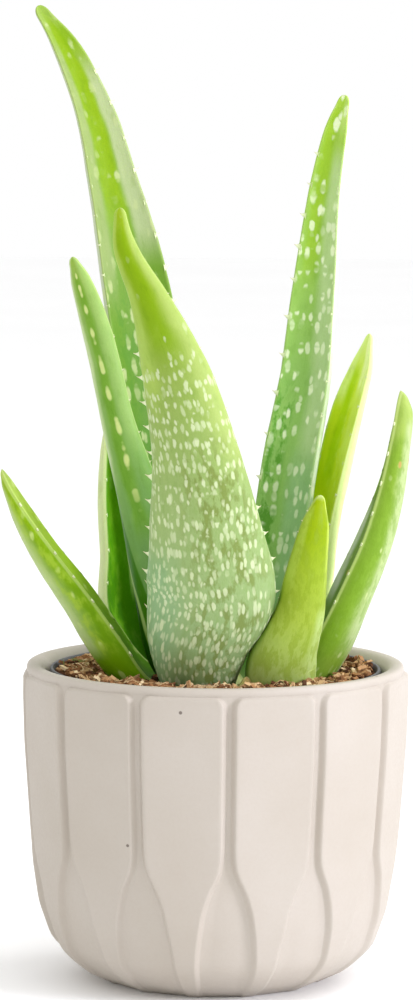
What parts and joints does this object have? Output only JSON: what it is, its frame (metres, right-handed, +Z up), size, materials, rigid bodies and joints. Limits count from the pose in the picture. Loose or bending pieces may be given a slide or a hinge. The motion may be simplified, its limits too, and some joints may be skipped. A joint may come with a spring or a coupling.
{
  "type": "potted aloe plant",
  "caption": "Young aloe with upright, spotted, toothed fleshy leaves in a nursery pot, stood inside a round fluted pale ceramic cover pot.",
  "frame": {"origin": "middle of the cover pot's flat base, on the surface it stands on", "axes": "+Z up along the pot's axis, -Y towards the front as pictured, +X to the viewer's right"},
  "size_m": [0.1476, 0.1399, 0.353],
  "materials": {
    "pale_ceramic": "matt",
    "dark_plastic": "satin",
    "potting_mix": "rough",
    "stem": "matt",
    "leaf_pale": "satin",
    "leaf_dark": "satin",
    "leaf_yellow": "satin"
  },
  "bodies": {
    "root": {"cover_pot": "pale_ceramic", "nursery_pot": "dark_plastic", "stem": "stem", "soil": "potting_mix", "leaf_tall_left": "leaf_pale", "leaf_tall_right": "leaf_pale", "leaf_front": "leaf_pale", "leaf_keeled_left": "leaf_pale", "leaf_back_left": "leaf_dark", "leaf_right": "leaf_yellow", "leaf_low_left": "leaf_yellow", "leaf_far_right": "leaf_yellow", "leaf_short_right": "leaf_yellow", "torn_leaf_base": "leaf_pale"}
  },
  "joints": []
}
